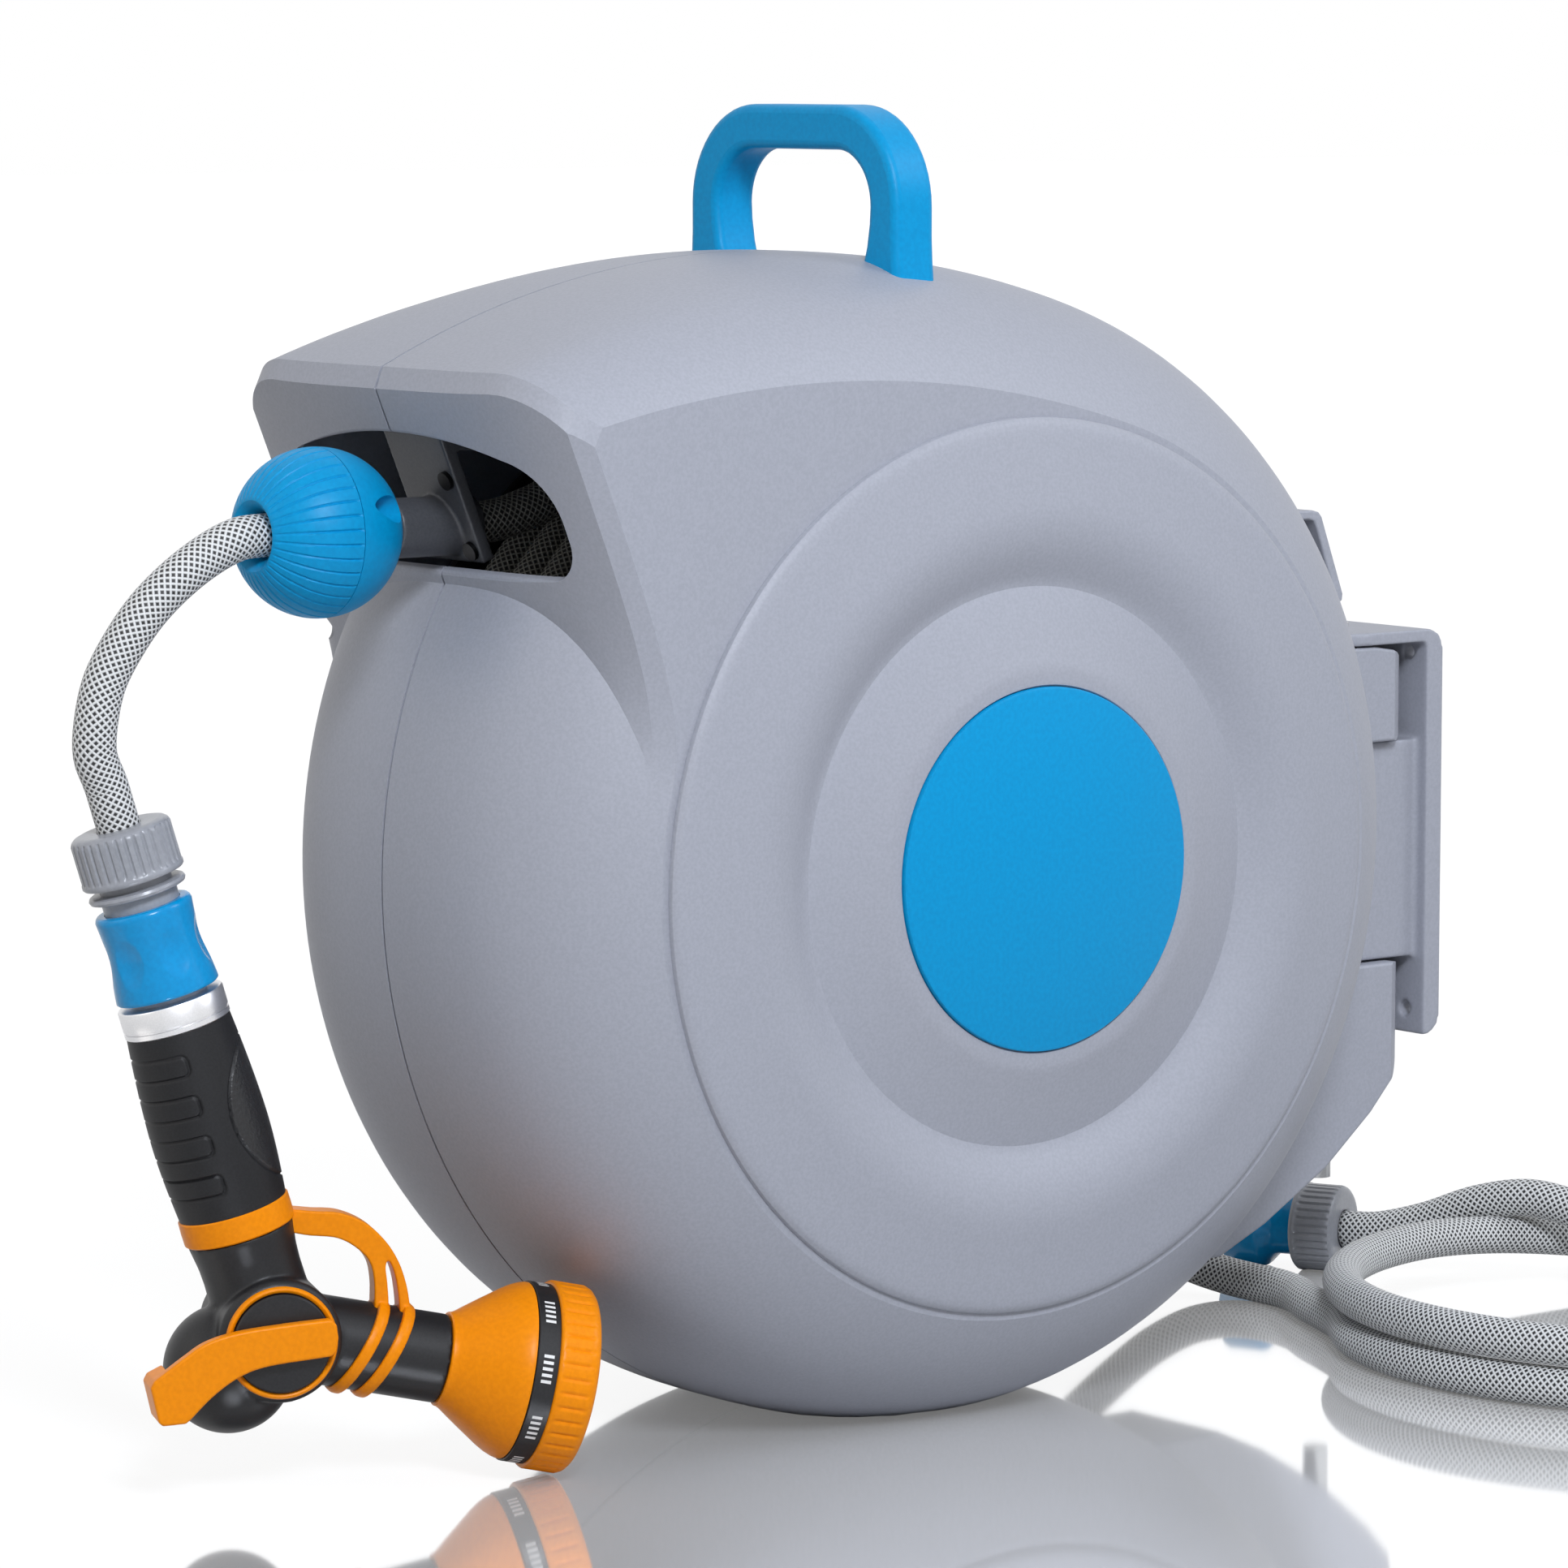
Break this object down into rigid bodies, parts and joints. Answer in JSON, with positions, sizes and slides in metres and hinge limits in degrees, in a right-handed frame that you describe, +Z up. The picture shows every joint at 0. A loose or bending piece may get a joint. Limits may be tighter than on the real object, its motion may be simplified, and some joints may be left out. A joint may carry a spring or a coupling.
{
  "type": "retractable hose reel",
  "caption": "Round wall-mounted hose reel box with a hooded mouth, carry handle, swivelling wall bracket, ball stop, spray nozzle and looped inlet hose.",
  "frame": {"origin": "on the floor at the foot, under the middle of the drum axis", "axes": "+X along the drum axis towards the shown side panel, -Y towards the hose mouth, +Y towards the wall, +Z up"},
  "size_m": [0.3865, 0.7681, 0.473],
  "materials": {
    "casing_grey": "fine moulded texture, satin",
    "trim_blue": "satin",
    "connector_grey": "glossy",
    "steel": "plain",
    "dark_plastic": "satin",
    "belt_rubber": "matte",
    "grip_rubber": "soft matte",
    "nozzle_orange": "satin gloss",
    "ring_aluminium": "turned",
    "hose_braid": "woven jacket"
  },
  "bodies": {
    "casing": {"right_shell": "casing_grey", "left_shell": "casing_grey", "shell_screws": "steel", "right_side_panel": "casing_grey", "left_side_panel": "casing_grey", "right_side_cap": "trim_blue", "left_side_cap": "trim_blue", "carry_handle": "trim_blue", "rear_hinge_block": "casing_grey", "rear_hook": "casing_grey", "drum_axle": "steel", "rotary_seal": "dark_plastic", "inlet_pipe": "dark_plastic", "inlet_gland": "dark_plastic", "pawl_pin": "steel", "pawl_spring": "steel", "drive_belt": "belt_rubber", "screw_bushes": "dark_plastic", "guide_rail": "steel", "inlet_hose": "hose_braid", "inlet_nut": "connector_grey", "tap_connector": "trim_blue"},
    "bracket": {"wall_bracket": "casing_grey", "hinge_pin": "steel"},
    "drum": {"drum_core": "dark_plastic", "left_flange": "dark_plastic", "right_flange": "dark_plastic", "ratchet_ring": "steel", "spring_case": "dark_plastic", "spring_cover": "dark_plastic", "rewind_spring": "steel", "drum_pulley": "dark_plastic", "hose_core": "hose_braid", "hose_winding": "hose_braid"},
    "screw": {"traverse_screw": "steel", "screw_pulley": "dark_plastic"},
    "carriage": {"guide_carriage": "dark_plastic", "carriage_screws": "steel", "hose_lead": "hose_braid", "ball_front": "trim_blue", "ball_rear": "trim_blue", "ball_screws": "steel", "hose_front": "hose_braid", "hose_nut": "connector_grey", "connector_body": "connector_grey", "adaptor_ring": "ring_aluminium", "nozzle_grip": "grip_rubber", "grip_band": "nozzle_orange", "finger_guard": "nozzle_orange", "valve_body": "dark_plastic", "valve_ring": "nozzle_orange", "spray_cone": "nozzle_orange"},
    "collar": {"connector_collar": "trim_blue"},
    "lever": {"lever_disc": "dark_plastic", "flow_lever": "nozzle_orange"},
    "dial": {"dial_ring": "dark_plastic", "spray_bezel": "nozzle_orange", "spray_plate": "dark_plastic"},
    "pawl": {"pawl": "steel"}
  },
  "joints": [
    {"name": "bracket_swivel", "type": "hinge", "parent": "casing", "child": "bracket", "pos_m": [0, 0.234, 0.204], "axis": [0, 0, 1], "range_deg": [-50, 50]},
    {"name": "drum_spin", "type": "hinge", "parent": "casing", "child": "drum", "pos_m": [0, 0, 0.204], "axis": [1, 0, 0], "range_deg": [-720, 720]},
    {"name": "screw_spin", "type": "hinge", "parent": "casing", "child": "screw", "pos_m": [0, -0.165, 0.364], "axis": [1, 0, 0], "range_deg": [-1840, 1840]},
    {"name": "guide_slide", "type": "slide", "parent": "casing", "child": "carriage", "axis": [1, 0, 0], "range_m": [-0.034, 0.034]},
    {"name": "pawl_swing", "type": "hinge", "parent": "casing", "child": "pawl", "pos_m": [-0.0635, 0.06033, 0.28123], "axis": [-1, 0, 0], "range_deg": [0, 18], "stiffness_Nm_per_rad": 0.02},
    {"name": "collar_slide", "type": "slide", "parent": "carriage", "child": "collar", "axis": [-0.1086, -0.2533, 0.9613], "range_m": [0, 0.004], "stiffness_N_per_m": 300},
    {"name": "lever_swing", "type": "hinge", "parent": "carriage", "child": "lever", "pos_m": [0.012, -0.266, 0.05535], "axis": [-0.9191, 0.3939, 0], "range_deg": [0, 25]},
    {"name": "dial_spin", "type": "hinge", "parent": "carriage", "child": "dial", "pos_m": [0.04861, -0.18059, 0.0356], "axis": [0.3853, 0.8991, -0.2079], "continuous": true}
  ],
  "couplings": [
    {"joint": "screw_spin", "follows": "drum_spin", "ratio": 2.5455},
    {"joint": "guide_slide", "follows": "drum_spin", "m_per_rad": -0.0026632}
  ]
}
